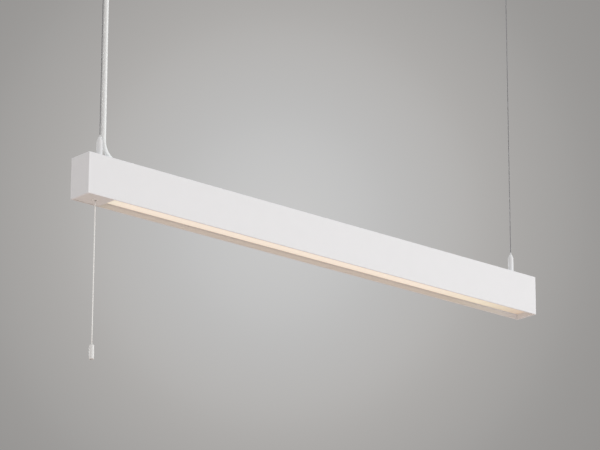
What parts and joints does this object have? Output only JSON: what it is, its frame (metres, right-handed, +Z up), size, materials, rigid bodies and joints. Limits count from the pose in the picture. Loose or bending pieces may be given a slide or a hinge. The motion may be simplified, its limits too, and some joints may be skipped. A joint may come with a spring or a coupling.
{
  "type": "linear pendant light",
  "caption": "Slim linear pendant light: white box profile with a recessed opal diffuser, two wire suspensions, a mains cord with ceiling canopy, and a pull-cord switch.",
  "frame": {"origin": "in the ceiling plane, midway between the two ceiling screws", "axes": "+X along the lamp away from the pull cord, +Y across it, +Z up to the ceiling"},
  "size_m": [1.08, 0.08, 0.987],
  "materials": {
    "housing_white": "white powder coat on aluminium, satin",
    "cap_white": "white powder coat, satin",
    "opal": "opal diffuser sheet, lit from inside",
    "plate_white": "white powder coat, satin",
    "tray": "white coated steel sheet",
    "circuit_board": "white solder mask",
    "led": "yellow phosphor LED package",
    "connector": "moulded white",
    "driver_case": "coated sheet steel case",
    "screw_steel": "zinc plated",
    "terminal": "moulded polyamide",
    "mains_core": "PVC insulation",
    "switch_core": "PVC insulation",
    "driver_core": "PVC insulation",
    "led_core": "PVC insulation",
    "inlet_plastic": "moulded white nylon",
    "cord_jacket": "smooth white PVC jacket",
    "switch_plastic": "moulded, fine grain",
    "slider_plastic": "moulded acetal",
    "spring_steel": "bright spring wire",
    "pin_steel": "ground steel",
    "contact_brass": "stamped brass",
    "pull_cord_white": "white braided cord",
    "grip_white": "moulded white, satin gloss",
    "gripper_white": "white lacquer on turned brass",
    "gripper_tip": "white lacquer, worn by the wire",
    "ball_steel": "polished balls",
    "stud_steel": "zinc plated thread",
    "wire_steel": "stranded steel wire",
    "nipple_brass": "pressed brass ball",
    "ceiling_white": "white powder coat, satin",
    "bar_steel": "zinc plated strip",
    "bush_rubber": "soft white rubber"
  },
  "bodies": {
    "ceiling": {"ceiling_base_left": "ceiling_white", "ceiling_base_right": "ceiling_white", "wire_cap_left": "ceiling_white", "wire_cap_right": "ceiling_white", "canopy": "ceiling_white", "canopy_bar": "bar_steel", "canopy_bush": "bush_rubber", "canopy_terminal": "terminal", "canopy_leads": "mains_core"},
    "lamp": {"housing": "housing_white", "end_cap_left": "cap_white", "end_cap_right": "cap_white", "diffuser": "opal", "switch_plate": "plate_white", "gear_tray": "tray", "led_boards": "circuit_board", "led_chips": "led", "board_connectors": "connector", "led_driver": "driver_case", "driver_screws": "screw_steel", "terminal_block": "terminal", "mains_leads": "mains_core", "switch_leads": "switch_core", "driver_leads": "driver_core", "led_leads": "led_core", "cord_inlet": "inlet_plastic", "inlet_nut": "inlet_plastic", "power_cord": "cord_jacket", "switch_base": "switch_plastic", "switch_cover": "switch_plastic", "cord_collar": "plate_white", "return_spring": "spring_steel", "rocker_pin": "pin_steel", "switch_contacts": "contact_brass", "gripper_body_left": "gripper_white", "gripper_spring_left": "spring_steel", "gripper_stud_left": "stud_steel", "gripper_body_right": "gripper_white", "gripper_spring_right": "spring_steel", "gripper_stud_right": "stud_steel", "gripper_washers": "screw_steel", "gripper_nuts": "screw_steel", "wire_left": "wire_steel", "wire_right": "wire_steel", "wire_nipples": "nipple_brass"},
    "switch_slider": {"pull_slider": "slider_plastic"},
    "switch_rocker": {"contact_rocker": "switch_plastic"},
    "cord_pivot": {"cord_ball": "grip_white"},
    "hanging_cord": {"pull_cord": "pull_cord_white", "pull_knot": "pull_cord_white", "pull_grip": "grip_white"},
    "tip_left": {"gripper_plunger_left": "gripper_tip", "gripper_balls_left": "ball_steel"},
    "tip_right": {"gripper_plunger_right": "gripper_tip", "gripper_balls_right": "ball_steel"}
  },
  "joints": [
    {"name": "pendant_swing", "type": "hinge", "parent": "ceiling", "child": "lamp", "pos_m": [0, 0, -0.033], "axis": [1, 0, 0], "range_deg": [-10, 10]},
    {"name": "switch_pull", "type": "slide", "parent": "lamp", "child": "switch_slider", "axis": [0, 0, -1], "range_m": [0, 0.008], "stiffness_N_per_m": 600, "springref_m": -0.004, "deforming": ["return_spring"]},
    {"name": "rocker_tilt", "type": "hinge", "parent": "lamp", "child": "switch_rocker", "pos_m": [-0.515, 0, -0.6875], "axis": [0, 1, 0], "range_deg": [0, 45.7]},
    {"name": "cord_swing_side", "type": "hinge", "parent": "switch_slider", "child": "cord_pivot", "pos_m": [-0.5055, 0, -0.7018], "axis": [1, 0, 0], "range_deg": [-10, 10]},
    {"name": "cord_swing_along", "type": "hinge", "parent": "cord_pivot", "child": "hanging_cord", "pos_m": [-0.5055, 0, -0.7018], "axis": [0, 1, 0], "range_deg": [-10, 10]},
    {"name": "release_left", "type": "slide", "parent": "lamp", "child": "tip_left", "axis": [0, 0, -1], "range_m": [0, 0.002], "stiffness_N_per_m": 300, "springref_m": -0.003, "deforming": ["gripper_spring_left"]},
    {"name": "release_right", "type": "slide", "parent": "lamp", "child": "tip_right", "axis": [0, 0, -1], "range_m": [0, 0.002], "stiffness_N_per_m": 300, "springref_m": -0.003, "deforming": ["gripper_spring_right"]}
  ],
  "couplings": [
    {"joint": "rocker_tilt", "follows": "switch_pull", "rad_per_m": 99.63}
  ]
}
